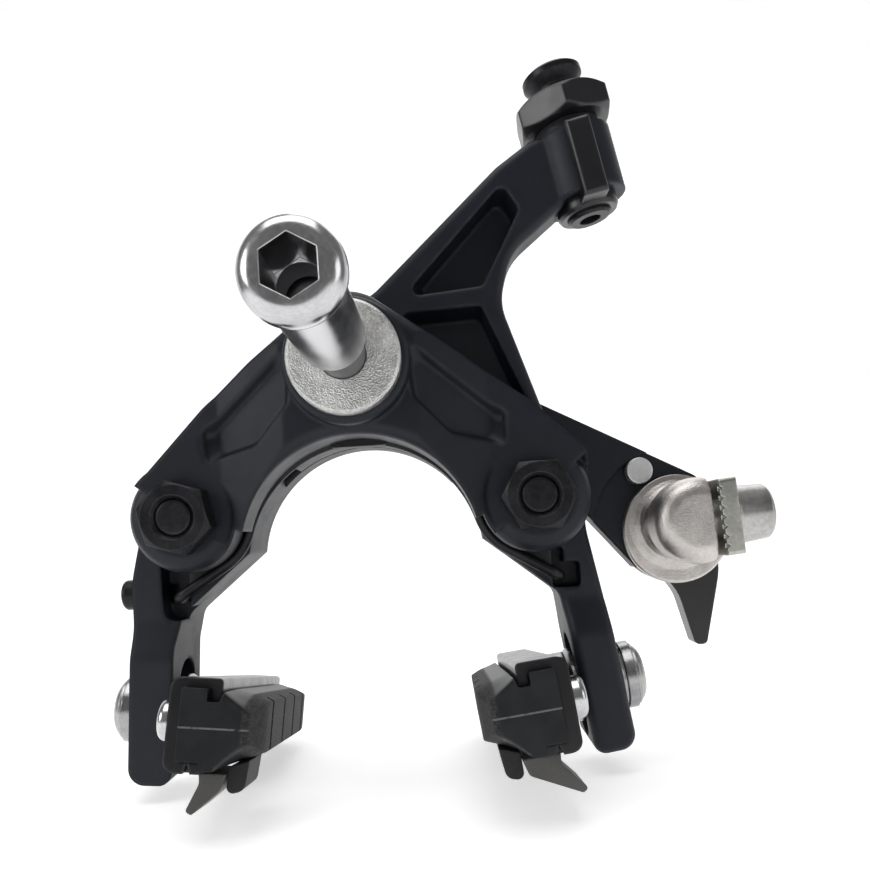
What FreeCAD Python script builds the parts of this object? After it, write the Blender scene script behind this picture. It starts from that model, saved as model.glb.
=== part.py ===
import FreeCAD, Part
import math
import os

# Short-reach road rim brake caliper with two pivots, seen here from the frame side.
# Frame of the part, in millimetres: +Z is up, +Y points away from the frame (to the
# front of the bicycle) and +X is to the right for someone who looks along +Y.
# The origin is on the axis of the mounting bolt, on the rear face of its washer.

os.makedirs("parts", exist_ok=True)

V = FreeCAD.Vector
X_AXIS = V(1, 0, 0)
Y_AXIS = V(0, 1, 0)
Z_AXIS = V(0, 0, 1)
ORIGIN = V(0, 0, 0)

# ---- driving dimensions -------------------------------------------------------------
FIT = 0.05               # radial clearance of running fits and of faces that slide
GAP = 0.4                # air between stacked moving plates

# mounting hardware
BOLT_R = 3.0             # M6 mounting bolt
BOLT_REACH = 22.0        # bolt length behind the washer
BOLT_HEAD_R = 5.6
BOLT_HEAD_T = 3.6
WASHER_R = 7.4
WASHER_T = 2.2
SLEEVE_R = 4.0           # 8 mm sleeve nut that is sunk in the frame
SLEEVE_START = 9.5       # bolt left bare between washer and sleeve nut
SLEEVE_LENGTH = 24.0
SLEEVE_FLANGE_R = 4.95
SLEEVE_FLANGE_T = 4.0
SLEEVE_KEY_AF = 5.0      # hex key of the sleeve nut
SLEEVE_KEY_DEPTH = 6.5

# rear bridge
PIVOT_X = 24.4           # half distance between the two pivots
PIVOT_Z = -19.0
BRIDGE_Y0 = 4.6          # rear face of the bridge
BRIDGE_Y1 = 12.0         # front face of the bridge
BRIDGE_APEX_Z = 11.6
BRIDGE_CREST = {"left": (20.4, -4.2), "right": (24.2, -5.9)}
BRIDGE_SHOULDER = {"left": (31.4, -15.4), "right": (31.8, -13.2)}
BRIDGE_ARCH_Z = -25.8    # centre height of the tyre arch in the bridge
BRIDGE_ARCH_R = 16.5
BOSS_R = 7.7             # round ends of the bridge around the pivots
BOSS_TOP_R = 5.5         # flat seat of a pivot nut
BOSS_DROP = 2.8          # the rim of a boss lies this far in front of its seat
BOSS_FACE_Y = 7.5        # seat of the pivot nuts
HUB_R = 8.4              # round pad under the washer
RAMP_START = 9.0         # from here outwards the rear of the bridge falls
RAMP_END = 18.5          # and here it meets the seats of the pivot nuts
BOSS_RIM_TURN = 38.0     # a boss has its falling rim on the outer and lower half, turned by this, degrees
PANEL_DEPTH = 1.2        # sunk panels in the rear face of the bridge

# arms
PLATE_Y = 14.4           # rear face of both arms
BARREL_ARM_Y1 = 20.2     # front face of the barrel arm
ANCHOR_ARM_Y1 = 26.4     # front face of the anchor arm
ARCH_Z = -26.5           # centre height of the tyre arch in the arms
ARM_ARCH_R = 17.1
ARM_BOSS_R = 7.0         # bosses of the arms around the pivots
POCKET_DEPTH = 4.2
LEG_Y0 = 12.8            # rear face of the legs
LEG_Y1 = 26.0            # front face of the barrel arm's leg
LEG_T = 6.2              # thickness of the legs
LEG_TILT = {"left": 4.6, "right": 8.8}   # splay of the open legs, degrees
LEG_POINT = {"left": (32.4, -47.3), "right": (32.8, -46.6)}  # leg plate's middle at the shoe bolt
LEG_END = 9.6            # leg length below the shoe bolt
SLOT_TRAVEL = 4.5        # shoe travel each way along its slot
SOFT = 1.2               # edge rounding of the forged pieces

# pivots
PIVOT_BOLT_R = 2.5
BUSH_R = 3.6
BUSH_FLANGE_R = 5.0
BUSH_FLANGE_T = 0.5
PIVOT_HEAD_R = 5.2
PIVOT_HEAD_T = 2.6
PIVOT_HEAD_SUNK_T = 1.6
NUT_AF = 9.0
NUT_T = 3.5
NUT_STICK = 0.3          # bolt end stays this far inside the nut face

# link between the arms
SYNC_Z = -3.5
SYNC_ROLLER_R = 2.5
SYNC_PIN_R = 1.4
SYNC_PLAY = 0.3
SYNC_SWING = 8.0         # closing travel of each arm, degrees

# return spring
WIRE_R = 0.8
WIRE_BEND_R = 1.6
SPRING_HOOK = (27.65, -30.4)
SPRING_TAIL = 3.6
HOOK_SLOT_W = 4.2
HOOK_SLOT_H = 9.0
SCREW_R = 1.5            # spring screw in the left leg
SCREW_HEAD_R = 2.25
SCREW_HEAD_T = 2.0

# quick release and cable anchor
CAM_X = 46.4             # turning axis of the quick release
CAM_Z = -21.9
CAM_R = 4.0
CAM_DROP = 2.9           # centre of the round cam flange below the turning axis
ANCHOR_DROP = 1.8        # swivel axis of the cable anchor below the turning axis
CAM_FLANGE_R = 8.1
CAM_FLANGE_T = 1.4
ARM_EYE_R = 7.9
EYE_STEP_R = 12.5
EYE_STEP = 0.6
STEM_R = 4.2
DOME_R = 6.0
DOME_T = 6.6
DOME_REAR_Y = 7.4        # rearmost point of the anchor dome
ANCHOR_PIN_R = 2.6       # pin of the swivelling anchor inside the cam
FLAT_X = 1.7             # clamp flat from the swivel axis
CABLE_R = 0.8
CLAMP_TILT = 4.6         # the clamp bolt rises by this angle, degrees
CLAMP_SIDE = 10.4
CLAMP_DEPTH = 9.0
CLAMP_T = 2.3
CLAMP_BOLT_R = 2.5
CLAMP_HEAD_R = 4.15
CLAMP_HEAD_T = 5.4
CLAMP_KEY_AF = 4.0
LEVER_T = 4.6
LEVER_HUB_R = 6.5
LEVER_TIP = (4.8, -21.4)  # tip of the lever from the turning axis
STOP_PIN = (41.3, -15.6)
STOP_PIN_R = 2.0

# barrel adjuster
BARREL_FOOT = (35.9, 22.0)   # lower mouth of the barrel
BARREL_Y = 18.4
BARREL_TILT = 12.0       # the barrel leans to the left at the top, degrees
BARREL_R = 3.2
BARREL_BORE_R = 1.6
HOUSING_R = 2.55         # socket for a 5 mm cable housing
HOUSING_DEPTH = 6.0
BARREL_LENGTH = 22.3
BARREL_FUNNEL_R = 4.4
BARREL_BOSS_R = 6.0
BARREL_BOSS_START = 2.6
BARREL_BOSS_END = 12.0
RING_AF = 13.0
RING_T = 4.0
SEAL_T = 1.7             # washer between the ring and the eye
SEAL_R = 4.8
CLIP_W = 3.6
CLIP_T = 1.5
CLIP_RIM = 1.3           # wall of the clip's ring round the barrel

# brake shoes
STUD_R = 3.0
SEAT_R = {-1: LEG_T / 2 + 3.5, 1: LEG_T / 2 + 3.05}  # ball radius of the inner and outer washers
DOME_WASHER_R = 5.5
CUP_WASHER_R = 5.0
STUD_PLAY = 0.8          # room for the tilted stud in the domed washers
STACK = LEG_T / 2 + 3.7  # from the leg's middle plane to the back of the holder
NUT_SEAT = LEG_T / 2 + 2.2  # from the leg's middle plane to the shoe nut
SHOE_NUT_T = 1.4
HOLDER_DROP = 0.2        # middle of the holder below its stud
HOLDER_L = 50.0
HOLDER_H = 11.6
HOLDER_T = 1.8
LIP_T = 1.4
LIP_TOP = 6.4
LIP_BOTTOM = 4.6
HOOK_DROP = 1.6
PAD_L = 54.0
PAD_D = 11.6             # from the back of the holder to the friction face
PAD_FACE_H = 6.6
GROOVE_W = 1.2
GROOVE_D = 1.0
PAD_SCREW_R = 2.7
PAD_SCREW_Y = -20.5      # pad screw from the shoe bolt
FIN_START = -23.5        # rear end of the fin from the shoe bolt
FIN_W = 9.0
FIN_PULL = {"left": 2.2, "right": -0.6}  # tip of the fin nearer to the wheel by this
SHOE_CANT = {"left": 7.3, "right": 6.6}  # splay of the shoes, degrees
SHOE_PITCH = {"left": 9.6, "right": 6.8}
SHOE_TOE = {"left": 3.7, "right": -0.6}


# ---- general helpers ----------------------------------------------------------------
def turned(shape, angle, axis, centre=ORIGIN):
    """A copy of the shape turned by angle degrees about an axis through centre."""
    copy = shape.copy()
    copy.rotate(centre, axis, angle)
    return copy


def moved(shape, offset):
    """A copy of the shape shifted by offset."""
    copy = shape.copy()
    copy.translate(offset)
    return copy


def mirrored(shape):
    """The shape reflected left to right."""
    return shape.mirror(ORIGIN, X_AXIS)


def rod(radius, start, direction, length):
    """A solid cylinder."""
    return Part.makeCylinder(radius, length, start, direction)


def post(x, z, radius, y0, y1):
    """A cylinder along Y."""
    return rod(radius, V(x, y0, z), Y_AXIS, y1 - y0)


def hexagon(across_flats, start, direction, length, twist=0.0):
    """A hexagonal prism, used for nuts and for key sockets."""
    radius = across_flats / math.sqrt(3)
    corners = []
    for i in range(7):
        angle = math.radians(60 * i + twist)
        corners.append(V(radius * math.cos(angle), radius * math.sin(angle), 0))
    prism = Part.Face(Part.makePolygon(corners)).extrude(V(0, 0, length))
    prism.Placement = FreeCAD.Placement(start, FreeCAD.Rotation(Z_AXIS, direction))
    return prism


def corner_points(before, corner, after, radius):
    """Start, middle and end of the arc that rounds a corner of an outline."""
    to_before = (before - corner).normalize()
    to_after = (after - corner).normalize()
    half = to_before.getAngle(to_after) / 2
    reach = radius / math.tan(half)
    bisector = (to_before + to_after).normalize()
    middle = corner + bisector * (radius / math.sin(half) - radius)
    return corner + to_before * reach, middle, corner + to_after * reach


def outline(points, plane="xz"):
    """A face from (a, b) or (a, b, radius) corners in the XZ or YZ plane."""
    place = (lambda p: V(p[0], 0, p[1])) if plane == "xz" else (lambda p: V(0, p[0], p[1]))
    corners = [place(p) for p in points]
    count = len(points)
    stretches = []
    for i, point in enumerate(points):
        radius = point[2] if len(point) > 2 else 0
        if radius:
            stretches.append(corner_points(corners[i - 1], corners[i], corners[(i + 1) % count], radius))
        else:
            stretches.append((corners[i],))
    edges = []
    for i, stretch in enumerate(stretches):
        if len(stretch) == 3:
            edges.append(Part.Arc(*stretch).toShape())
        edges.append(Part.makeLine(stretch[-1], stretches[(i + 1) % count][0]))
    return Part.Face(Part.Wire(edges))


def plate(points, y0, y1):
    """An outline in the XZ plane, given depth from y0 to y1."""
    return moved(outline(points).extrude(V(0, y1 - y0, 0)), V(0, y0, 0))


def revolved(profile, start, direction):
    """A turned piece: (radius, height) corners spun about an axis through start."""
    corners = [V(r, 0, h) for r, h in profile]
    face = Part.Face(Part.makePolygon(corners + corners[:1]))
    solid = face.revolve(ORIGIN, Z_AXIS, 360)
    solid.Placement = FreeCAD.Placement(start, FreeCAD.Rotation(Z_AXIS, direction))
    return solid


def softened(shape, radius, wanted):
    """Rounds every edge for which wanted(middle point, edge) holds."""
    chosen = []
    for edge in shape.Edges:
        middle = edge.valueAt((edge.FirstParameter + edge.LastParameter) / 2)
        if wanted(middle, edge):
            chosen.append(edge)
    return shape.makeFillet(radius, chosen)


def save(name, shape):
    """Writes one node and prints what it holds."""
    solids = shape.Solids
    assert solids and all(s.isValid() and s.isClosed() for s in solids), name
    solid = solids[0] if len(solids) == 1 else Part.makeCompound(solids)
    solid.exportStep("parts/" + name + ".step")
    print(f"{name}: {len(solids)} solid(s), {shape.Volume / 1000:.3f} cm3")


# ---- mounting hardware --------------------------------------------------------------
def mount_washer():
    """The rough-faced washer against the frame, with a bevelled rim."""
    edge = 0.35
    return revolved([(BOLT_R + FIT, 0), (WASHER_R - edge, 0), (WASHER_R, edge), (WASHER_R, WASHER_T),
                     (BOLT_R + FIT, WASHER_T)], ORIGIN, Y_AXIS)


def mount_bolt():
    """The mounting bolt, whose head is sunk in the front of the bridge."""
    head_y = BRIDGE_Y1 - BOLT_HEAD_T
    shank = post(0, 0, BOLT_R, -BOLT_REACH, head_y)
    head = post(0, 0, BOLT_HEAD_R, head_y, BRIDGE_Y1)
    return shank.fuse(head).removeSplitter()


def sleeve_nut():
    """The long round nut behind the frame, with a rounded flange and a key socket."""
    top = -SLEEVE_START - SLEEVE_LENGTH
    body = post(0, 0, SLEEVE_R, top + 1, -SLEEVE_START)
    flange = post(0, 0, SLEEVE_FLANGE_R, top, top + SLEEVE_FLANGE_T)
    flange = softened(flange, 1.8, lambda m, e: True)
    nut = body.fuse(flange).removeSplitter()
    thread = post(0, 0, BOLT_R + FIT, -BOLT_REACH - 1, -SLEEVE_START)
    bore = post(0, 0, SLEEVE_KEY_AF / 2 - FIT, top, -SLEEVE_START)
    socket = hexagon(SLEEVE_KEY_AF, V(0, top, 0), Y_AXIS, SLEEVE_KEY_DEPTH, 30)
    return nut.cut([thread, bore, socket])


# ---- rear bridge --------------------------------------------------------------------
def grown(points, factor):
    """An outline's corners moved away from their common middle by a factor."""
    mid_x = sum(p[0] for p in points) / len(points)
    mid_z = sum(p[1] for p in points) / len(points)
    return [(mid_x + (p[0] - mid_x) * factor, mid_z + (p[1] - mid_z) * factor, p[2]) for p in points]


def sloped_pocket(points, mouth_y, floor_y, factor):
    """A pocket whose walls slope from a wide mouth to the outline on its floor."""
    floor = moved(outline(points).OuterWire, V(0, floor_y, 0))
    mouth = moved(outline(grown(points, factor)).OuterWire, V(0, mouth_y, 0))
    return Part.makeLoft([mouth, floor], True, True)


def bridge_ramp(side):
    """What is cut off the rear of the bridge, so that it falls to the seats of the pivot nuts."""
    far = PIVOT_X + BOSS_R + 5
    points = [(RAMP_START, BRIDGE_Y0 - 1), (RAMP_START, BRIDGE_Y0), (RAMP_END, BOSS_FACE_Y), (far, BOSS_FACE_Y),
              (far, BRIDGE_Y0 - 1)]
    corners = [V(side * x, y, -45) for x, y in points]
    return Part.Face(Part.makePolygon(corners + corners[:1])).extrude(V(0, 0, 70))


def bridge_panel():
    """The sunk panel on the right half of the bridge, sunk square to the ramp."""
    corners = [(8.6, 1.4, 1.2), (20.4, -7.8, 1.2), (19.2, -10.6, 1.2), (13.6, -9.4, 1.5), (9.2, -5.0, 1.5)]
    pocket = sloped_pocket(corners, BRIDGE_Y0 - 0.5, BRIDGE_Y0 + PANEL_DEPTH, 1.35)
    slope = math.degrees(math.atan((BOSS_FACE_Y - BRIDGE_Y0) / (RAMP_END - RAMP_START)))
    return turned(pocket, slope, Z_AXIS, V(RAMP_START, BRIDGE_Y0, 0))


def boss_rim(side):
    """What is turned off a boss of the bridge: the nut's seat and the round rim about it."""
    drop = BOSS_DROP
    wide = BOSS_R + 4
    seat = BOSS_FACE_Y - BRIDGE_Y0
    profile = [(0, -1), (wide, -1), (BOSS_R + seat, 0), (BOSS_R + 0.6, seat + drop), (BOSS_R, seat + drop),
               (BOSS_R - 0.25, seat + drop * 0.5), (BOSS_R - 0.9, seat + drop * 0.16), (BOSS_TOP_R, seat), (0, seat)]
    rim = revolved(profile, V(side * PIVOT_X, BRIDGE_Y0, PIVOT_Z), Y_AXIS)
    size = 2 * wide
    pivot = V(side * PIVOT_X, 0, PIVOT_Z)
    lower_half = Part.makeBox(size, 30, size, pivot - V(wide, 5, size))
    lower_half = turned(lower_half, -side * BOSS_RIM_TURN, Y_AXIS, pivot)
    seat_cut = post(side * PIVOT_X, PIVOT_Z, BOSS_R - 0.5, 0, BOSS_FACE_Y)
    return rim.common(lower_half).fuse(seat_cut)


def rear_bridge():
    """The arched bridge that holds both pivots and stands on the mounting bolt."""
    crest_l, crest_r = BRIDGE_CREST["left"], BRIDGE_CREST["right"]
    side_l, side_r = BRIDGE_SHOULDER["left"], BRIDGE_SHOULDER["right"]
    edge = PIVOT_X + BOSS_R
    corners = [(0, BRIDGE_APEX_Z, 7), (crest_r[0], crest_r[1], 12), (side_r[0], side_r[1], 4), (edge, PIVOT_Z),
               (PIVOT_X, PIVOT_Z), (0, BRIDGE_ARCH_Z), (-PIVOT_X, PIVOT_Z), (-edge, PIVOT_Z),
               (-side_l[0], side_l[1], 4), (-crest_l[0], crest_l[1], 14)]
    band = plate(corners, BRIDGE_Y0, BRIDGE_Y1)
    bosses = [post(s * PIVOT_X, PIVOT_Z, BOSS_R, BRIDGE_Y0, BRIDGE_Y1) for s in (-1, 1)]
    arch = post(0, BRIDGE_ARCH_Z, BRIDGE_ARCH_R, BRIDGE_Y0 - 1, BRIDGE_Y1 + 1)
    body = band.fuse(bosses).removeSplitter().cut(arch)
    body = softened(body, 1.6, lambda m, e: abs(m.y - BRIDGE_Y0) < 0.01)
    body = body.cut([bridge_ramp(-1), bridge_ramp(1)])
    body = body.cut([bridge_panel(), mirrored(bridge_panel()), boss_rim(1), boss_rim(-1)])
    hub = post(0, 0, HUB_R, WASHER_T, BRIDGE_Y1)
    hub = softened(hub, 0.8, lambda m, e: abs(m.y - WASHER_T) < 0.01)
    body = body.fuse(hub)
    holes = [post(0, 0, BOLT_R, -1, BRIDGE_Y1), post(0, 0, BOLT_HEAD_R, BRIDGE_Y1 - BOLT_HEAD_T, BRIDGE_Y1 + 1)]
    for side in (-1, 1):
        holes.append(post(side * PIVOT_X, PIVOT_Z, PIVOT_BOLT_R, 0, BRIDGE_Y1 + 1))
    return body.cut(holes).removeSplitter()


# ---- pivots -------------------------------------------------------------------------
def pivot_nut(side):
    """A chamfered hexagon nut at the rear end of a pivot bolt."""
    y0 = BOSS_FACE_Y - NUT_T
    block = hexagon(NUT_AF, V(side * PIVOT_X, y0, PIVOT_Z), Y_AXIS, NUT_T, 0 if side > 0 else 18)
    corner_r = NUT_AF / math.sqrt(3)
    cap = revolved([(0, 0), (NUT_AF / 2 - 0.2, 0), (corner_r + 0.1, 0.75), (corner_r + 0.1, NUT_T), (0, NUT_T)],
                   V(side * PIVOT_X, y0, PIVOT_Z), Y_AXIS)
    nut = block.common(cap)
    mouth = revolved([(0, 0), (PIVOT_BOLT_R + 0.5, 0), (PIVOT_BOLT_R, 0.6), (0, 0.6)],
                     V(side * PIVOT_X, y0, PIVOT_Z), Y_AXIS)
    return nut.cut([post(side * PIVOT_X, PIVOT_Z, PIVOT_BOLT_R, y0, BOSS_FACE_Y), mouth])


def pivot_bolt(side):
    """A pivot bolt; the right one has a sunk head, because the anchor arm passes it."""
    y0 = BOSS_FACE_Y - NUT_T + NUT_STICK
    if side < 0:
        head_y = ANCHOR_ARM_Y1 + FIT
        head = post(side * PIVOT_X, PIVOT_Z, PIVOT_HEAD_R, head_y, head_y + PIVOT_HEAD_T)
        head = softened(head, 0.8, lambda m, e: m.y > head_y + PIVOT_HEAD_T - 0.01)
        end = head_y + PIVOT_HEAD_T
    else:
        head_y = BARREL_ARM_Y1 - PIVOT_HEAD_SUNK_T
        head = post(side * PIVOT_X, PIVOT_Z, PIVOT_HEAD_R, head_y, BARREL_ARM_Y1)
        end = BARREL_ARM_Y1
    shank = post(side * PIVOT_X, PIVOT_Z, PIVOT_BOLT_R, y0, head_y)
    shank = softened(shank, 0.5, lambda m, e: m.y < y0 + 0.01)
    socket = hexagon(4.0, V(side * PIVOT_X, end + 0.01, PIVOT_Z), V(0, -1, 0), 1.2)
    return shank.fuse(head).removeSplitter().cut(socket)


def pivot_bush(side):
    """A flanged bush pressed in an arm; the pivot bolt runs in it."""
    rear = BRIDGE_Y1 + FIT
    front = ANCHOR_ARM_Y1 if side < 0 else BARREL_ARM_Y1 - PIVOT_HEAD_SUNK_T - FIT
    bore = PIVOT_BOLT_R + FIT
    return revolved([(bore, 0), (BUSH_FLANGE_R, 0), (BUSH_FLANGE_R, BUSH_FLANGE_T), (BUSH_R, BUSH_FLANGE_T),
                     (BUSH_R, front - rear), (bore, front - rear)], V(side * PIVOT_X, rear, PIVOT_Z), Y_AXIS)


# ---- arms ---------------------------------------------------------------------------
def side_name(side):
    """The name of a side: -1 is left, 1 is right."""
    return "right" if side > 0 else "left"


def leg_frame(shape, side, tilt=None):
    """Places a piece made about the slot centre (x outward, z up along the leg)."""
    x, z = LEG_POINT[side_name(side)]
    lean = LEG_TILT[side_name(side)] if tilt is None else tilt
    placed = turned(shape, -lean, Y_AXIS)
    placed = moved(placed, V(x, (LEG_Y0 + LEG_Y1) / 2, z))
    return placed if side > 0 else mirrored(placed)


def leg_corners(side):
    """Outline of a leg, drawn as a right one, from the outer shoulder to the inner one."""
    lean = math.radians(LEG_TILT[side_name(side)])
    along = V(math.sin(lean), 0, -math.cos(lean))
    across = V(math.cos(lean), 0, math.sin(lean)) * (LEG_T / 2)
    x, z = LEG_POINT[side_name(side)]
    middle = V(x, 0, z)
    outer_low = middle + across + along * LEG_END
    inner_low = middle - across + along * LEG_END
    outer_top = middle + across - along * 11.5
    inner_top = middle - across - along * 10.4
    return [(outer_top.x, outer_top.z, 12), (outer_low.x, outer_low.z, 2.4), (inner_low.x, inner_low.z, 1.8),
            (inner_top.x, inner_top.z, 4), (27.4, -32.8, 2.5), (14.8, -22.6, 2)]


def leg_side(front_low, front_high):
    """Side view of an arm: the leg is deeper to the rear than the shoulder above it."""
    top = 60
    bottom = -70
    points = [(PLATE_Y, top), (PLATE_Y, -34.0, 5), (LEG_Y0, -38.6, 5), (LEG_Y0, bottom), (front_low, bottom)]
    if front_low != front_high:
        points += [(front_low, -38.5, 6), (front_high, -28.5, 5)]
    points += [(front_high, top)]
    face = outline(points, "yz")
    return moved(face.extrude(V(160, 0, 0)), V(-80, 0, 0))


def shoe_slot():
    """The slot for the shoe bolt, about the slot centre."""
    half_w = STUD_R + 0.4
    long = LEG_T + 6
    slot = Part.makeBox(long, 2 * half_w, 2 * SLOT_TRAVEL, V(-long / 2, -half_w, -SLOT_TRAVEL))
    ends = [rod(half_w, V(-long / 2, 0, s * SLOT_TRAVEL), X_AXIS, long) for s in (-1, 1)]
    return slot.fuse(ends)


def arch_cut():
    """Tyre clearance through both arms."""
    return post(0, ARCH_Z, ARM_ARCH_R, LEG_Y0 - 3, ANCHOR_ARM_Y1 + 3)


def sync_slot():
    """Curved slot of the barrel arm: the path of the roller while the arms close."""
    radius = SYNC_ROLLER_R + SYNC_PLAY
    cuts = []
    steps = 9
    for i in range(steps):
        angle = -1.0 + (SYNC_SWING + 2.0) * i / (steps - 1)
        pin = turned(Part.Vertex(0, 0, SYNC_Z), -angle, Y_AXIS, V(-PIVOT_X, 0, PIVOT_Z)).Point
        spot = turned(Part.Vertex(pin.x, 0, pin.z), -angle, Y_AXIS, V(PIVOT_X, 0, PIVOT_Z)).Point
        cuts.append(post(spot.x, spot.z, radius, PLATE_Y - 1, BARREL_ARM_Y1 + 1))
    return cuts[0].multiFuse(cuts[1:])


def barrel_axis():
    """Direction of the cable barrel, from its foot to its top."""
    lean = math.radians(BARREL_TILT)
    return V(-math.sin(lean), 0, math.cos(lean))


def on_barrel(height):
    """The point of the barrel axis at this height above the foot."""
    return V(BARREL_FOOT[0], BARREL_Y, BARREL_FOOT[1]) + barrel_axis() * height


def barrel_arm():
    """The Y-shaped arm: right pivot, right leg and the eye of the cable barrel."""
    corners = [(-9.8, -18), (-9.8, 1.6, 4), (-3.0, 9.4, 5), (3.0, 12.0, 8), (22.0, 29.2, 8), (27.6, 33.0, 6),
               (35.0, 33.8, 1.4), (36.0, 27.6, 1), (31.4, 23.0, 8), (23.4, 16.6, 8), (21.5, 9.6, 8),
               (26.8, -6.5, 12), (31.5, -14.5, 4), (32.0, -24.0, 14)]
    face = corners + leg_corners(1) + [(12, -18)]
    body = plate(face, LEG_Y0 - 1, LEG_Y1 + 1).common(leg_side(LEG_Y1, BARREL_ARM_Y1))
    boss = post(PIVOT_X, PIVOT_Z, ARM_BOSS_R, BRIDGE_Y1 + FIT + BUSH_FLANGE_T, PLATE_Y + 1)
    body = body.cut(arch_cut())
    body = softened(body, SOFT, lambda m, e: abs(m.y - PLATE_Y) < 0.01 and m.z > 8)
    body = body.fuse(boss)
    floor = PLATE_Y + POCKET_DEPTH
    upper = [(22.2, 25.6, 1.2), (24.2, 22.2, 1.2), (19.0, 12.8, 1.0), (8.8, 12.0, 1.0)]
    lower = [(7.6, 8.0, 1.2), (18.4, 8.4, 1.0), (24.4, -6.2, 1.5), (19.0, -9.2, 1.5), (8.2, -3.0, 1.5)]
    pockets = [sloped_pocket(upper, PLATE_Y - 0.01, floor, 1.15), sloped_pocket(lower, PLATE_Y - 0.01, floor, 1.1)]
    eye = rod(BARREL_BOSS_R, on_barrel(BARREL_BOSS_START), barrel_axis(), BARREL_BOSS_END - BARREL_BOSS_START)
    body = body.fuse(eye)
    clip_room = BARREL_R + CLIP_RIM + 0.4
    bores = [rod(BARREL_R + FIT, on_barrel(-5), barrel_axis(), 45),
             rod(clip_room, on_barrel(-5), barrel_axis(), 5 + BARREL_BOSS_START),
             rod(SEAL_R + GAP, on_barrel(BARREL_BOSS_END), barrel_axis(), 10),
             post(PIVOT_X, PIVOT_Z, BUSH_R, 0, 40),
             post(PIVOT_X, PIVOT_Z, PIVOT_HEAD_R + FIT, BARREL_ARM_Y1 - PIVOT_HEAD_SUNK_T - FIT, 40),
             sync_slot(), leg_frame(shoe_slot(), 1), hook_hole()]
    return body.cut(pockets + bores).removeSplitter()


def hook_hole():
    """The angled hole below the right pivot that takes the spring's end."""
    x, z = SPRING_HOOK
    depth = PLATE_Y + SPRING_TAIL
    foot = plate([(x - 1.1, z - 1.7, 0.7), (x + 3.0, z - 1.7, 0.7), (x + 3.0, z + 2.0, 0.7), (x - 1.1, z + 2.0, 0.7)],
                 0, depth)
    stem = plate([(x - 1.1, z - 1), (x + 0.7, z - 1), (x + 0.7, z + 4.2, 0.6), (x - 1.1, z + 4.2, 0.6)], 0, depth)
    return foot.fuse(stem)


def anchor_arm():
    """The front arm: left pivot, left leg, and the eye of the cable anchor at the right."""
    leg = [(-x, z, r) for x, z, r in leg_corners(-1)]
    shoulder = [(-12.4, -18), (-12.4, -1.4, 3), (-25.0, -9.8, 6), (-31.4, -15.6, 4), (-34.4, -27.5, 12)]
    left = plate(shoulder + leg, LEG_Y0 - 1, ANCHOR_ARM_Y1).common(leg_side(ANCHOR_ARM_Y1, ANCHOR_ARM_Y1))
    front_y = BARREL_ARM_Y1 + GAP
    reach = [(-20, -18), (-24.6, -9.8, 5), (-10.5, 2.6, 8), (3.0, 6.6, 14), (17.5, 0.6, 14), (50.4, -17.0, 3),
             (CAM_X + 7, CAM_Z - 2), (CAM_X, CAM_Z - 5), (40.2, -30.2), (33.0, -21.6, 6), (24.0, -14.2, 8), (12, -15.4)]
    right = plate(reach, front_y, ANCHOR_ARM_Y1)
    eye = post(CAM_X, CAM_Z - CAM_DROP, ARM_EYE_R, front_y, ANCHOR_ARM_Y1)
    body = left.fuse([right, eye]).removeSplitter().cut(arch_cut())
    body = softened(body, SOFT, lambda m, e: abs(m.y - ANCHOR_ARM_Y1) < 0.01)
    boss = post(-PIVOT_X, PIVOT_Z, ARM_BOSS_R, BRIDGE_Y1 + FIT + BUSH_FLANGE_T, PLATE_Y + 1)
    body = body.fuse(boss)
    step = post(CAM_X, CAM_Z - CAM_DROP, EYE_STEP_R, front_y - 1, front_y + EYE_STEP)
    x, z = SPRING_HOOK
    slot = plate([(-x - 2.5, z - 3.2, 2), (-x + HOOK_SLOT_W - 2.5, z - 3.2, 2),
                  (-x + HOOK_SLOT_W - 2.5, z - 3.2 + HOOK_SLOT_H, 1), (-x - 2.5, z - 3.2 + HOOK_SLOT_H, 1)],
                 0, PLATE_Y + SPRING_TAIL)
    bores = [post(-PIVOT_X, PIVOT_Z, BUSH_R, 0, 40), post(0, SYNC_Z, SYNC_PIN_R, 0, 40),
             post(CAM_X, CAM_Z, CAM_R + FIT, 0, 40), post(STOP_PIN[0], STOP_PIN[1], STOP_PIN_R, 0, 40),
             leg_frame(shoe_slot(), -1), slot, step, screw_bore()]
    return body.cut(bores).removeSplitter()


# ---- link, pins and small hardware --------------------------------------------------
def sync_pin():
    """The pin of the roller that couples the arms, pressed in the anchor arm."""
    return post(0, SYNC_Z, SYNC_PIN_R, PLATE_Y + 0.6, ANCHOR_ARM_Y1 - 0.3)


def sync_roller():
    """The roller on the coupling pin."""
    tube = post(0, SYNC_Z, SYNC_ROLLER_R, PLATE_Y + 0.5, BARREL_ARM_Y1)
    return tube.cut(post(0, SYNC_Z, SYNC_PIN_R + FIT, 0, 40))


def stop_pin():
    """The bright pin pressed through the anchor arm."""
    rear = BARREL_ARM_Y1 + GAP - 0.9
    pin = post(STOP_PIN[0], STOP_PIN[1], STOP_PIN_R, rear, ANCHOR_ARM_Y1)
    return softened(pin, 0.25, lambda m, e: m.y < rear + 0.01)


def screw_place():
    """Height and depth of the spring screw, level with the spring hook's slot."""
    return V(-35.0, (PLATE_Y + ANCHOR_ARM_Y1) / 2 - 1.4, SPRING_HOOK[1] + 0.8)


def screw_bore():
    """The threaded hole of the spring screw, from the side of the leg to the slot."""
    return rod(SCREW_R + FIT, screw_place() + V(-4, 0, 0), X_AXIS, 10)


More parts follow.
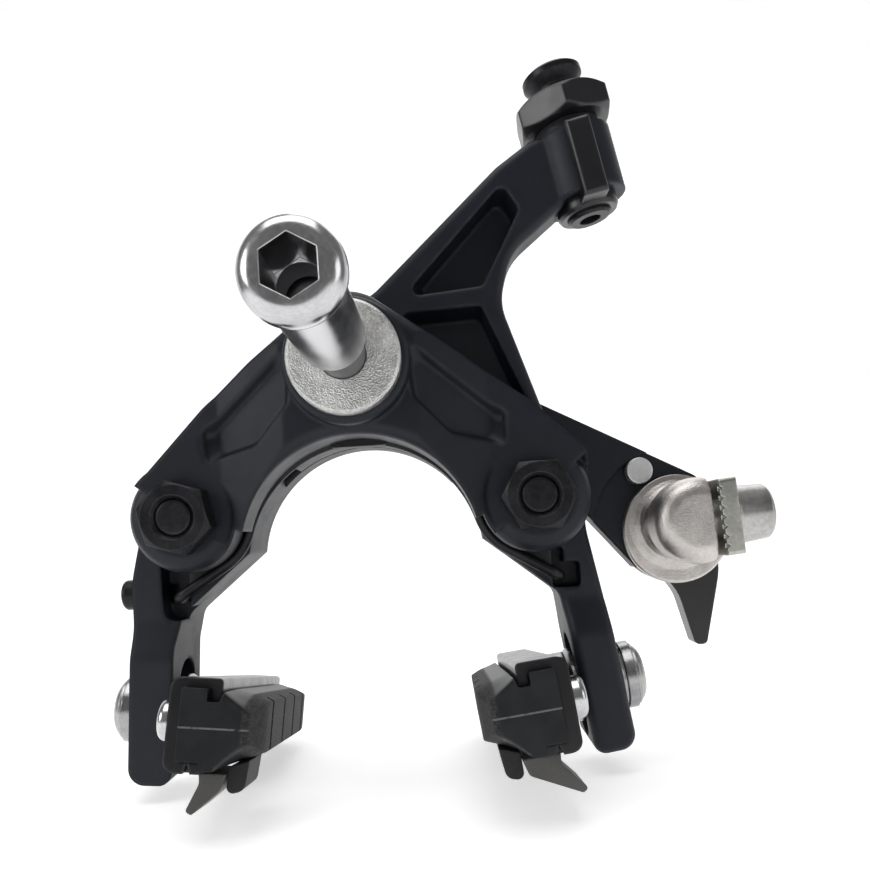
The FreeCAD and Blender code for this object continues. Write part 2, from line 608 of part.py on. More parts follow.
def spring_screw():
    """The small screw at the side of the left leg that sets the spring force."""
    place = screw_place()
    shank = rod(SCREW_R, place, X_AXIS, 4.8)
    head = rod(SCREW_HEAD_R, place - V(SCREW_HEAD_T + 0.3, 0, 0), X_AXIS, SCREW_HEAD_T)
    head = softened(head, 0.6, lambda m, e: m.x < place.x - SCREW_HEAD_T)
    neck = rod(SCREW_R, place - V(0.4, 0, 0), X_AXIS, 0.5)
    socket = hexagon(2.0, place - V(SCREW_HEAD_T + 0.31, 0, 0), X_AXIS, 1.2)
    return shank.fuse([neck, head]).removeSplitter().cut(socket)


# ---- return spring ------------------------------------------------------------------
def spring_path():
    """Half of the wire's centre line, from the crown of the arch to the hook."""
    y = (BRIDGE_Y1 + PLATE_Y) / 2 + 0.05
    arch = V(0, y, ARCH_Z)
    boss = V(PIVOT_X, y, PIVOT_Z)
    between = boss - arch
    boss_r = ARM_BOSS_R + WIRE_R + 0.3
    arch_r = between.Length - boss_r
    rise = math.atan2(between.z, between.x)
    touch = arch + between * (arch_r / between.Length)
    mid_arch = (rise + math.pi / 2) / 2
    arch_mid = arch + V(arch_r * math.cos(mid_arch), 0, arch_r * math.sin(mid_arch))
    hook = V(SPRING_HOOK[0], y, SPRING_HOOK[1])
    to_hook = hook - boss
    facing = math.atan2(to_hook.z, to_hook.x)
    leave = facing - math.acos(boss_r / to_hook.Length)
    arrive = math.pi + rise
    leave = leave + 2 * math.pi
    leave_at = boss + V(boss_r * math.cos(leave), 0, boss_r * math.sin(leave))
    around = (arrive + leave) / 2
    boss_mid = boss + V(boss_r * math.cos(around), 0, boss_r * math.sin(around))
    run = (hook - leave_at).normalize()
    bend_start = hook - run * WIRE_BEND_R
    bend_end = hook + Y_AXIS * WIRE_BEND_R
    root = 1 - math.sqrt(0.5)
    bend_mid = hook - run * (WIRE_BEND_R * root) + Y_AXIS * (WIRE_BEND_R * root)
    tail = V(hook.x, PLATE_Y + SPRING_TAIL - 0.6, hook.z)
    return [Part.Arc(arch + V(0, 0, arch_r), arch_mid, touch).toShape(),
            Part.Arc(touch, boss_mid, leave_at).toShape(),
            Part.makeLine(leave_at, bend_start),
            Part.Arc(bend_start, bend_mid, bend_end).toShape(),
            Part.makeLine(bend_end, tail)]


def return_spring():
    """The wire spring: over the arch, under both bosses, its ends hooked in the arms."""
    edges = spring_path()
    start = edges[0].valueAt(edges[0].FirstParameter)
    circle = Part.Wire(Part.makeCircle(WIRE_R, start, X_AXIS))
    half = Part.Wire(edges).makePipeShell([circle], True, True)
    return half.fuse(mirrored(half)).removeSplitter()


def spring_saddle():
    """The plastic saddle that holds the crown of the spring under the bridge."""
    crown = spring_path()[0]
    top = crown.valueAt(crown.FirstParameter)
    y1 = PLATE_Y - 0.25
    low = top.z - 1.15
    block = plate([(-4, low, 0.4), (4, low, 0.4), (4, top.z + 3.4, 0.4), (-4, top.z + 3.4, 0.4)],
                  BRIDGE_Y1, y1)
    radius = top.z - (ARCH_Z)
    groove = Part.makeTorus(radius, WIRE_R + FIT, V(0, top.y, ARCH_Z), Y_AXIS)
    return block.cut(groove)


# ---- quick release and cable anchor -------------------------------------------------
def cam():
    """The silver cam: a flange behind the arm, a shaft through it and a flared stem."""
    arm_y = BARREL_ARM_Y1 + GAP + EYE_STEP
    rear = arm_y - FIT - CAM_FLANGE_T
    flange = post(CAM_X, CAM_Z - CAM_DROP, CAM_FLANGE_R, rear, rear + CAM_FLANGE_T)
    flange = softened(flange, 0.4, lambda m, e: m.y < rear + 0.01)
    shaft = post(CAM_X, CAM_Z, CAM_R, rear + 0.5, ANCHOR_ARM_Y1 + LEVER_T * 0.8)
    stem_end = rear - 4.4
    flare = []
    rise = 2.6
    for i in range(6):
        angle = math.pi / 2 * i / 5
        flare.append((STEM_R + 0.4 + rise * (1 - math.sin(angle)), rise * (1 - math.cos(angle))))
    stem = revolved([(0, -0.3), (STEM_R + 0.4 + rise, -0.3)] + flare + [(STEM_R + 0.4, 4.4), (0, 4.4)],
                    V(CAM_X, rear, CAM_Z - ANCHOR_DROP), V(0, -1, 0))
    bore = post(CAM_X, CAM_Z - ANCHOR_DROP, ANCHOR_PIN_R + FIT, stem_end - 1, rear + 1.0)
    return flange.fuse([shaft, stem]).removeSplitter().cut(bore)




def swivel_frame(shape):
    """Places a piece made about the swivel axis, with x along the clamp bolt."""
    placed = turned(shape, -CLAMP_TILT, Y_AXIS)
    return moved(placed, V(CAM_X, 0, CAM_Z - ANCHOR_DROP))


def clamp_y():
    """Depth of the clamp bolt's axis, in the middle of the dome."""
    return DOME_REAR_Y + DOME_T / 2 + 0.6


def anchor_stud():
    """The polished dome that swivels in the cam and has a flat for the cable."""
    rear = BARREL_ARM_Y1 + GAP + EYE_STEP - FIT - CAM_FLANGE_T
    seat = rear - 4.4 - FIT
    dome = post(0, 0, DOME_R, DOME_REAR_Y, DOME_REAR_Y + DOME_T)
    dome = softened(dome, 2.6, lambda m, e: m.y < DOME_REAR_Y + 0.01)
    dome = softened(dome, 0.8, lambda m, e: m.y > DOME_REAR_Y + DOME_T - 0.01)
    neck = post(0, 0, STEM_R, DOME_REAR_Y + DOME_T - 1, seat)
    pin = post(0, 0, ANCHOR_PIN_R, seat - 1, rear + 0.9)
    body = dome.fuse([neck, pin]).removeSplitter()
    flat = Part.makeBox(10, 12, 20, V(FLAT_X, DOME_REAR_Y - 1, -10))
    thread = rod(CLAMP_BOLT_R + FIT, V(-DOME_R + 1.2, clamp_y(), 0), X_AXIS, 20)
    groove = rod(CABLE_R * 0.7, V(FLAT_X, clamp_y() + CLAMP_BOLT_R + CABLE_R + 0.1, -10), Z_AXIS, 20)
    return swivel_frame(body.cut([flat, thread, groove]))


def clamp_plate():
    """The square plate with a grooved face that pinches the cable."""
    x0 = FLAT_X + CABLE_R
    half = CLAMP_SIDE / 2
    depth = CLAMP_DEPTH
    block = Part.makeBox(CLAMP_T, depth, CLAMP_SIDE, V(x0, clamp_y() - half, -half))
    block = softened(block, 0.5, lambda m, e: abs(abs(m.z) - half) < 0.01 and abs(m.x - x0 - CLAMP_T / 2) < 0.01)
    teeth = []
    pitch = 1.3
    count = 7
    for i in range(count):
        z = (i - (count - 1) / 2) * pitch
        tooth = outline([(0.0, z - 0.35), (0.45, z), (0.0, z + 0.35)])
        teeth.append(moved(tooth.extrude(V(0, 1.0, 0)), V(x0, clamp_y() - half, 0)))
    bore = rod(CLAMP_BOLT_R + FIT, V(0, clamp_y(), 0), X_AXIS, 20)
    return swivel_frame(block.cut(teeth + [bore]))


def clamp_bolt():
    """The bolt that tightens the clamp plate, with a tapered socket head."""
    x0 = FLAT_X + CABLE_R + CLAMP_T
    centre = V(x0, clamp_y(), 0)
    collar = 0.5
    head = revolved([(0, 0), (CLAMP_HEAD_R + 0.3, 0), (CLAMP_HEAD_R + 0.3, collar), (CLAMP_HEAD_R, collar + 0.1),
                     (CLAMP_HEAD_R - 0.35, CLAMP_HEAD_T - 0.4), (CLAMP_HEAD_R - 0.75, CLAMP_HEAD_T),
                     (0, CLAMP_HEAD_T)], centre, X_AXIS)
    socket = hexagon(CLAMP_KEY_AF, centre + X_AXIS * (CLAMP_HEAD_T + 0.01), V(-1, 0, 0), 3.0)
    shank = rod(CLAMP_BOLT_R, V(-DOME_R + 1.4, clamp_y(), 0), X_AXIS, x0 + DOME_R - 1.4)
    return swivel_frame(head.fuse(shank).removeSplitter().cut(socket))


def release_lever():
    """The black lever in front of the anchor arm, with a pointed tip."""
    y0 = ANCHOR_ARM_Y1 + FIT
    y1 = y0 + LEVER_T
    tip_x, tip_z = LEVER_TIP
    hub = post(CAM_X, CAM_Z, LEVER_HUB_R, y0, y1)
    blade = plate([(CAM_X - 6, CAM_Z - 6), (CAM_X + 1.2, CAM_Z - 12.0, 8), (CAM_X + tip_x - 1.1, CAM_Z + tip_z, 0.9),
                   (CAM_X + tip_x + 0.7, CAM_Z + tip_z, 0.8), (CAM_X + 8.3, CAM_Z - 9, 12),
                   (CAM_X + LEVER_HUB_R, CAM_Z)], y0, y1)
    lever = hub.fuse(blade).removeSplitter()
    lever = softened(lever, 1.0, lambda m, e: abs(m.y - y1) < 0.01)
    return lever.cut(post(CAM_X, CAM_Z, CAM_R, 0, 60))


def lever_screw():
    """The low screw that holds the lever on the cam shaft."""
    y0 = ANCHOR_ARM_Y1 + LEVER_T * 0.8
    y1 = ANCHOR_ARM_Y1 + LEVER_T + FIT
    head = post(CAM_X, CAM_Z, CAM_R + 1.0, y1, y1 + 1.0)
    head = softened(head, 0.4, lambda m, e: m.y > y1 + 0.99)
    neck = post(CAM_X, CAM_Z, CAM_R - 0.4, y0, y1)
    socket = hexagon(3.0, V(CAM_X, y1 + 1.01, CAM_Z), V(0, -1, 0), 1.2)
    return head.fuse(neck).removeSplitter().cut(socket)


# ---- barrel adjuster ----------------------------------------------------------------
def adjusting_barrel():
    """The hollow screw for the cable, with a flared socket for its housing on top."""
    top = BARREL_LENGTH
    collar = BARREL_BOSS_END + SEAL_T + RING_T + FIT
    tube = revolved([(BARREL_BORE_R, 0), (BARREL_R - 0.3, 0), (BARREL_R, 0.3), (BARREL_R, collar),
                     (BARREL_R + 0.6, collar), (BARREL_R + 0.6, collar + 0.7), (BARREL_R, collar + 1.0),
                     (BARREL_R + 0.1, collar + 1.9), (BARREL_FUNNEL_R - 0.3, top - 1.6), (BARREL_FUNNEL_R, top - 1.2),
                     (BARREL_FUNNEL_R, top - 0.4), (BARREL_FUNNEL_R - 0.5, top), (HOUSING_R + 0.7, top),
                     (HOUSING_R, top - 0.8), (HOUSING_R, top - HOUSING_DEPTH), (BARREL_BORE_R, top - HOUSING_DEPTH)],
                    on_barrel(0), barrel_axis())
    return tube


def adjuster_ring():
    """The six-sided ring that is turned by hand to set the cable."""
    base = on_barrel(BARREL_BOSS_END + SEAL_T)
    block = hexagon(RING_AF, base, barrel_axis(), RING_T, 25)
    corner_r = RING_AF / math.sqrt(3)
    cap = revolved([(0, 0), (RING_AF / 2 - 0.2, 0), (corner_r - 0.1, 0.7), (corner_r - 0.1, RING_T - 0.8),
                    (RING_AF / 2, RING_T), (0, RING_T)], base, barrel_axis())
    return block.common(cap).cut(rod(BARREL_R + FIT, on_barrel(0), barrel_axis(), 40))


def ring_seal():
    """The thin washer between the ring and the arm."""
    start = BARREL_BOSS_END + FIT
    return revolved([(BARREL_R + FIT, 0), (SEAL_R, 0), (SEAL_R, SEAL_T - 2 * FIT),
                     (BARREL_R + FIT, SEAL_T - 2 * FIT)], on_barrel(start), barrel_axis())


def barrel_clip():
    """The bent clip over the rear of the eye, under the ring and over the lower end."""
    axis = barrel_axis()
    rear = BARREL_Y - BARREL_BOSS_R - FIT
    start = BARREL_BOSS_START - FIT
    length = BARREL_BOSS_END - start
    rib = Part.makeBox(CLIP_W, CLIP_T, length, V(-CLIP_W / 2, rear - CLIP_T, 0))
    foot = Part.makeBox(CLIP_W, BARREL_BOSS_R - BARREL_R + CLIP_T, CLIP_T, V(-CLIP_W / 2, rear - CLIP_T, -CLIP_T))
    clip = rib.fuse(foot).removeSplitter()
    clip = softened(clip, 0.6, lambda m, e: abs(m.y - rear + CLIP_T) < 0.01)
    rim = BARREL_R + CLIP_RIM
    lower = revolved([(BARREL_R + FIT, -1.9), (rim - 0.3, -1.9), (rim, -1.4), (rim, 0),
                      (BARREL_R + FIT, 0)], V(0, BARREL_Y, 0), Z_AXIS)
    clip = clip.fuse(lower).cut(rod(BARREL_R + FIT, V(0, BARREL_Y, -5), Z_AXIS, 30)).removeSplitter()
    clip.Placement = FreeCAD.Placement(V(0, 0, 0), FreeCAD.Rotation(Y_AXIS, -BARREL_TILT)).multiply(clip.Placement)
    base = on_barrel(start)
    return moved(clip, V(base.x, 0, base.z))


# ---- brake shoes --------------------------------------------------------------------
def shoe_frame(shape, side):
    """Places a piece of the shoe: pitch about its bolt, toe angle, then onto the leg."""
    name = side_name(side)
    placed = turned(shape, -SHOE_PITCH[name], X_AXIS)
    placed = turned(placed, -SHOE_TOE[name], Z_AXIS)
    return leg_frame(placed, side, SHOE_CANT[name])


def ball_ring(sign, inner_r, outer_r, flat, ball_r, ball_inside):
    """A ring with one flat face and one ball-shaped face about the slot centre."""
    ball = Part.makeSphere(ball_r)
    if ball_inside:
        tube = rod(outer_r, ORIGIN, X_AXIS * sign, flat).cut(ball)
    else:
        tube = rod(outer_r, X_AXIS * (sign * flat), X_AXIS * sign, 10).common(ball)
    return tube.cut(rod(inner_r, X_AXIS * -20, X_AXIS, 40))


def dome_washer(sign):
    """The washer against the leg, with its domed face away from it."""
    return ball_ring(sign, STUD_R + STUD_PLAY, DOME_WASHER_R, LEG_T / 2 + FIT, SEAT_R[sign], False)


def cup_washer(sign):
    """The hollow washer on the domed one; the two let the shoe be toed in."""
    flat = NUT_SEAT if sign > 0 else STACK
    return ball_ring(sign, STUD_R + FIT + 0.3, CUP_WASHER_R, flat, SEAT_R[sign] + FIT, True)


def shoe_stud():
    """The threaded stud of the holder."""
    inner = STACK + HOLDER_T * 0.6
    return rod(STUD_R, X_AXIS * -inner, X_AXIS, inner + NUT_SEAT + 0.6)


def shoe_nut():
    """The round nut with a key socket that clamps the shoe."""
    height = SHOE_NUT_T
    head = revolved([(0, 0), (4.5, 0), (4.5, 0.5), (4.1, 0.7), (3.9, height - 0.4), (3.3, height), (0, height)],
                    X_AXIS * NUT_SEAT, X_AXIS)
    socket = hexagon(4.0, X_AXIS * (NUT_SEAT + height + 0.01), V(-1, 0, 0), height)
    return head.cut([rod(STUD_R, X_AXIS * NUT_SEAT, X_AXIS, 0.6), socket])


def dropped(shape):
    """Shifts a piece from the holder's middle to its place below the stud."""
    return moved(shape, V(0, 0, -HOLDER_DROP))


def holder_profile():
    """End view of the holder: back plate, short lower lip, long upper lip with a hook."""
    back = -STACK
    top = HOLDER_H / 2
    low = -HOLDER_H / 2
    face = back - HOLDER_T
    hook = back - LIP_TOP
    return [(back, low + 0.2, 1.4), (back, top - 0.2, 1.4), (back - 1.6, top, 0.8), (hook, top, 0.6),
            (hook, top - LIP_T - HOOK_DROP, 0.3), (hook + LIP_T, top - LIP_T - HOOK_DROP, 0.3),
            (hook + LIP_T, top - LIP_T), (face, top - LIP_T), (face, low + LIP_T), (back - LIP_BOTTOM, low + LIP_T),
            (back - LIP_BOTTOM, low), (back - 1.6, low, 0.8)]


def shoe_holder():
    """The metal holder that the pad slides into from the rear."""
    body = dropped(plate(holder_profile(), -HOLDER_L / 2, HOLDER_L / 2))
    stud_hole = rod(STUD_R, X_AXIS * (-STACK - HOLDER_T * 0.6), X_AXIS, 10)
    screw_hole = rod(1.2, V(-STACK - HOLDER_T - 1, PAD_SCREW_Y, 0), X_AXIS, 10)
    notch = plate([(-STACK - 3.4, -HOLDER_H / 2 - 0.1), (-STACK - 2.9, -HOLDER_H / 2 + LIP_T),
                   (-STACK - 2.4, -HOLDER_H / 2 - 0.1)], -HOLDER_L / 2 - 1, -HOLDER_L / 2 + 1.6)
    return body.cut([stud_hole, screw_hole, dropped(notch)])


def pad_section():
    """Corners of the pad's end view; the root fills the holder."""
    back = -STACK - HOLDER_T - FIT
    top = HOLDER_H / 2 - LIP_T - FIT
    low = -HOLDER_H / 2 + LIP_T + FIT
    lip = -STACK - LIP_TOP - FIT
    lower_lip = -STACK - LIP_BOTTOM - FIT
    face = -STACK - PAD_D
    half = PAD_FACE_H / 2
    hook_top = top - HOOK_DROP
    return [(back, low), (back, top), (lip + LIP_T + 2 * FIT, top), (lip + LIP_T + 2 * FIT, hook_top),
            (lip, hook_top), (lip - 0.5, HOLDER_H / 2 - 1.5, 0.8), (face + 1.6, half + 0.3, 1.5), (face, half - 0.4),
            (face, -half - 0.2), (lower_lip - 2.2, -HOLDER_H / 2 + 0.5, 1.5), (lower_lip, -HOLDER_H / 2 + 0.3, 0.5),
            (lower_lip, low)]


def brake_pad():
    """The rubber pad: a root in the holder, a tapered body and a grooved friction face."""
    body = dropped(plate(pad_section(), -PAD_L / 2, PAD_L / 2))
    face = -STACK - PAD_D
    bevels = []
    for end in (-1, 1):
        y = end * PAD_L / 2
        wedge = Part.Face(Part.makePolygon([V(face - 0.1, y + end, -9), V(face - 0.1, y - end * 3.2, -9),
                                            V(face + 1.6, y + end, -9), V(face - 0.1, y + end, -9)]))
        bevels.append(wedge.extrude(V(0, 0, 18)))
    grooves = []
    for i in (-1.5, -0.5, 0.5, 1.5):
        grooves.append(Part.makeBox(GROOVE_D + 1, GROOVE_W, 20, V(face - 1, i * 11.5 - GROOVE_W / 2, -10)))
    screw_hole = rod(1.25, V(-STACK - HOLDER_T - 3, PAD_SCREW_Y, 0), X_AXIS, 6)
    return body.cut(bevels + grooves + [screw_hole])


def pad_screw():
    """The small domed screw that keeps the pad in its holder."""
    start = V(-STACK - HOLDER_T - 2, PAD_SCREW_Y, 0)
    shank = rod(1.2, start, X_AXIS, 2 + HOLDER_T + 0.2)
    head = rod(PAD_SCREW_R, V(-STACK, PAD_SCREW_Y, 0), X_AXIS, 1.9)
    head = softened(head, 0.9, lambda m, e: m.x > -STACK + 1.8)
    socket = hexagon(2.0, V(-STACK + 1.91, PAD_SCREW_Y, 0), V(-1, 0, 0), 1.1)
    return shank.fuse(head).removeSplitter().cut(socket)


def guide_fin(side):
    """The pointed fin under the holder that leads the wheel in between the pads."""
    low = -HOLDER_H / 2
    tip = -STACK - FIN_PULL[side_name(side)]
    root = -STACK - FIN_PULL[side_name(side)] * 0.5
    fin = plate([(-STACK - 7.4, low), (root - 3.0, low), (root - 3.2, low - 1.2, 1.6), (tip - 0.7, low - 4.6, 0.4),
                 (tip - 1.5, low - 5.0, 0.3), (-STACK - 6.9, low - 2.0, 1.0)], FIN_START, FIN_START + FIN_W)
    return dropped(fin)


def fin_block():
    """The black rubber block beside the fin."""
    low = -HOLDER_H / 2
    x = -STACK - 7.4 - FIT
    block = plate([(x - 2.6, low + 2.4), (x, low + 2.4), (x, low - 2.6, 0.8), (x - 2.2, low - 2.0, 1.2)],
                  FIN_START + 1.0, FIN_START + FIN_W + 1.5)
    pad_clear = plate([(p[0], p[1]) for p in pad_section()], -PAD_L, PAD_L)
    return dropped(block.cut(pad_clear))


def build():
    """Builds every node and writes it."""
    save("mount_washer", mount_washer())
    save("mount_bolt", mount_bolt())
    save("sleeve_nut", sleeve_nut())
    save("rear_bridge", rear_bridge())
    for name, side in (("left", -1), ("right", 1)):
        save("pivot_nut_" + name, pivot_nut(side))
        save("pivot_bolt_" + name, pivot_bolt(side))
        save("pivot_bush_" + name, pivot_bush(side))
    save("barrel_arm", barrel_arm())
    save("anchor_arm", anchor_arm())
    save("sync_pin", sync_pin())
    save("sync_roller", sync_roller())
    save("stop_pin", stop_pin())
    save("spring_screw", spring_screw())
    save("return_spring", return_spring())
    save("spring_saddle", spring_saddle())
    save("release_cam", cam())
    save("anchor_stud", anchor_stud())
    save("clamp_plate", clamp_plate())
    save("clamp_bolt", clamp_bolt())
    save("release_lever", release_lever())
    save("lever_screw", lever_screw())
    save("adjusting_barrel", adjusting_barrel())
    save("adjuster_ring", adjuster_ring())
    save("ring_seal", ring_seal())
    save("barrel_clip", barrel_clip())
    for name, side in (("left", -1), ("right", 1)):
        save("shoe_holder_" + name, shoe_frame(shoe_holder(), side))
        save("brake_pad_" + name, shoe_frame(brake_pad(), side))
        save("pad_screw_" + name, shoe_frame(pad_screw(), side))
        save("guide_fin_" + name, shoe_frame(guide_fin(side), side))
        save("fin_block_" + name, shoe_frame(fin_block(), side))
        save("shoe_stud_" + name, shoe_frame(shoe_stud(), side))
        save("shoe_nut_" + name, shoe_frame(shoe_nut(), side))
        save("inner_cup_washer_" + name, shoe_frame(cup_washer(-1), side))
        save("outer_cup_washer_" + name, shoe_frame(cup_washer(1), side))
        save("inner_dome_washer_" + name, leg_frame(dome_washer(-1), side))
        save("outer_dome_washer_" + name, leg_frame(dome_washer(1), side))


build()
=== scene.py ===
# %% [markdown]
# # A dual-pivot rim brake caliper
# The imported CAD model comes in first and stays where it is: every node keeps its place, in metres. What
# this file adds is the finish of each part, two brake pads that are finer than CAD solids, the light and
# the camera. The model could also be rebuilt from nothing, but then the looks would drift from the measured
# shapes.

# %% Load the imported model
import math

import bmesh
import bpy
import numpy as np
from mathutils import Matrix, Vector


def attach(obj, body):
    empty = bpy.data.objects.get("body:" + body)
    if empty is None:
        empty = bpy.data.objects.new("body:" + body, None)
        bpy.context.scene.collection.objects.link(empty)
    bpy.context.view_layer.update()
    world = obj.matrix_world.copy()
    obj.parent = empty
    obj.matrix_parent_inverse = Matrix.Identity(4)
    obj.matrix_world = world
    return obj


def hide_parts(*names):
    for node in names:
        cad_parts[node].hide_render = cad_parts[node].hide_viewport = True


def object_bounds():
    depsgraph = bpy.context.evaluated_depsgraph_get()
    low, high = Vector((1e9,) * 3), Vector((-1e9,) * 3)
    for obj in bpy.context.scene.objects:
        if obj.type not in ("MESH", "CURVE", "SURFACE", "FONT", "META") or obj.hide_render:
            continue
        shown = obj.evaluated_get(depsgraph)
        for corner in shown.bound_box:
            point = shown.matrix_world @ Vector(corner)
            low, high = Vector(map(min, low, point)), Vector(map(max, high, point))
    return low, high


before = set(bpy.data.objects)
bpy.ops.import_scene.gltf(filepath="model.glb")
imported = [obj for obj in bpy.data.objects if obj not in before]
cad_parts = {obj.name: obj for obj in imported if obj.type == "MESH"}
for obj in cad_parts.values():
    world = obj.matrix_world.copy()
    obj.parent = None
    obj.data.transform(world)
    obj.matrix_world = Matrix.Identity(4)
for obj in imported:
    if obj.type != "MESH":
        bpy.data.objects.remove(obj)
cad_low, cad_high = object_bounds()
print("CAD box in mm:", [round(v * 1000, 1) for v in (*cad_low, *cad_high)])

# %% [markdown]
# ## The camera
# A close camera makes near parts, such as the nut on the mounting bolt, look large. A lens of 33 mm on a 36
# mm sensor, about 100 mm behind the caliper, gives that look. The angles turn the camera about Z, then X,
# then Y, and a small shift keeps the framing. A longer lens further off would flatten the nut, so it is not
# used.

# %% Place the camera
CAMERA_PLACE = (0.012581, -0.101919, -0.024149)
CAMERA_TURNS = {"yaw": 0.012, "pitch": -0.007, "roll": 0.062}
CAMERA_SETTINGS = {"lens": 33.28, "shift_x": -0.0102, "shift_y": 0.1266, "clip_start": 0.005}


def turn(axis, angle):
    """The rotation by an angle in radians about one axis, as a 3x3 array."""
    return np.array(Matrix.Rotation(angle, 3, axis))


look = turn("Z", CAMERA_TURNS["yaw"]) @ turn("X", CAMERA_TURNS["pitch"]) @ turn("Y", CAMERA_TURNS["roll"])
placed = np.eye(4)
placed[:3, :3] = np.column_stack([look[:, 0], look[:, 2], -look[:, 1]])
placed[:3, 3] = CAMERA_PLACE
camera_data = bpy.data.cameras.new("camera")
for setting, number in CAMERA_SETTINGS.items():
    setattr(camera_data, setting, number)
camera = bpy.data.objects.new("camera", camera_data)
camera.matrix_world = Matrix(placed.tolist())
bpy.context.scene.collection.objects.link(camera)
bpy.context.scene.camera = camera
print("camera looks along", [round(v, 3) for v in look[:, 1]])

# %% [markdown]
# ## Shader sums as Python
# A finish is a small sum: a base colour, plus grain, plus wear. Nodes could be placed by hand, but a sum is
# easier to read as Python. Wire wraps one output socket, and its operators add Math nodes. Bench holds one
# material and adds any other node.

# %% The Wire and Bench classes


class Wire:
    """One output of a node. Plus, minus, times and abs on it add Math nodes."""

    def __init__(self, bench, socket):
        self.bench = bench
        self.socket = socket

    def sum(self, operation, *terms):
        return self.bench.node("ShaderNodeMath", {"operation": operation}, dict(enumerate(terms)))

    def __add__(self, other):
        return self.sum("ADD", self, other)

    def __radd__(self, other):
        return self.sum("ADD", other, self)

    def __sub__(self, other):
        return self.sum("SUBTRACT", self, other)

    def __rsub__(self, other):
        return self.sum("SUBTRACT", other, self)

    def __mul__(self, other):
        return self.sum("MULTIPLY", self, other)

    def __rmul__(self, other):
        return self.sum("MULTIPLY", other, self)

    def __abs__(self):
        return self.sum("ABSOLUTE", self)

    def step(self, low, high):
        """0 below low, 1 above high, and a smooth rise between them."""
        settings = {"interpolation_type": "SMOOTHSTEP"}
        return self.bench.node("ShaderNodeMapRange", settings, {0: self, 1: low, 2: high})


class Bench:
    """One material. node() adds a node and gives back its first output, or the one asked for."""

    def __init__(self, name):
        self.material = bpy.data.materials.new(name)
        self.material.use_nodes = True
        self.tree = self.material.node_tree
        self.tree.nodes.clear()
        self.place = self.node("ShaderNodeTexCoord", output="Object")

    def node(self, kind, settings=None, values=None, output=0):
        made = self.tree.nodes.new(kind)
        for key, value in (settings or {}).items():
            setattr(made, key, value)
        for key, value in (values or {}).items():
            if isinstance(value, Wire):
                self.tree.links.new(value.socket, made.inputs[key])
            else:
                made.inputs[key].default_value = value
        return Wire(self, made.outputs[output])

    def split(self, vector):
        """The x, y and z of a vector."""
        parts = self.node("ShaderNodeSeparateXYZ", values={0: vector}).socket.node
        return [Wire(self, part) for part in parts.outputs]

    def stretched(self, stretch):
        """Object coordinates, scaled by a different amount along each axis."""
        return self.node("ShaderNodeMapping", values={"Vector": self.place, "Scale": stretch})

    def noise(self, size_mm, detail=2.0, stretch=None, rough=0.5):
        """Cloudy noise from 0 to 1, with lumps of about size_mm."""
        where = self.place if stretch is None else self.stretched(stretch)
        values = {"Vector": where, "Scale": 1000 / size_mm, "Detail": detail, "Roughness": rough}
        return self.node("ShaderNodeTexNoise", values=values)

    def grains(self, size_mm):
        """Small pits and grains: the distance to the nearest of many scattered points."""
        return self.node("ShaderNodeTexVoronoi", values={"Vector": self.place, "Scale": 1000 / size_mm})

    def soft_normal(self, radius_mm):
        """The surface direction as if every edge were rounded by radius_mm."""
        return self.node("ShaderNodeBevel", {"samples": 6}, {"Radius": radius_mm / 1000})

    def edges(self, radius_mm):
        """1 along sharp edges and 0 on flat faces: how far the rounded direction leans from the true one."""
        flat = self.node("ShaderNodeNewGeometry", output="True Normal")
        values = {0: self.soft_normal(radius_mm), 1: flat}
        lean = self.node("ShaderNodeVectorMath", {"operation": "DOT_PRODUCT"}, values, "Value")
        return (1 - lean).step(0.02, 0.22)

    def blend(self, share, first, second):
        """The first colour where share is 0, the second where it is 1."""
        return self.node("ShaderNodeMix", {"data_type": "RGBA"}, {0: share, 6: first, 7: second}, 2)

    def bump(self, height, depth_mm, normal):
        """Turns a height into a surface direction; depth_mm is the height's full relief."""
        values = {"Height": height, "Distance": depth_mm / 1000, "Strength": 1.0, "Normal": normal}
        return self.node("ShaderNodeBump", values=values)

    def finish(self, values):
        """Joins the shader, whose socket values and wires are given, to the material's output."""
        shader = self.node("ShaderNodeBsdfPrincipled", values=values)
        end = self.tree.nodes.new("ShaderNodeOutputMaterial")
        self.tree.links.new(shader.socket, end.inputs[0])
        return self.material


def rgb(red, green, blue):
    return (red, green, blue, 1.0)


print("sockets can be added, multiplied and stepped")

# %% [markdown]
# ## Black finishes
# The bridge and arms are forged aluminium under a satin black coat with a slight blue cast. A real coat is
# never one colour: it mottles over centimetres, has a fine peel, and thins to a paler line on edges. The
# same recipe with other numbers makes the glossy levers and holders, the moulded plastics, black and grey,
# and the rubber, so one function makes them all.

# %% Coats, plastics and rubber
COAT_WEAR = 0.55           # share of the edge colour where an edge is fully worn
COAT_SMUDGE, COAT_POLISH, COAT_GRAIN = 0.07, 0.08, 0.05   # roughness from smudges, lost on edges, from grain


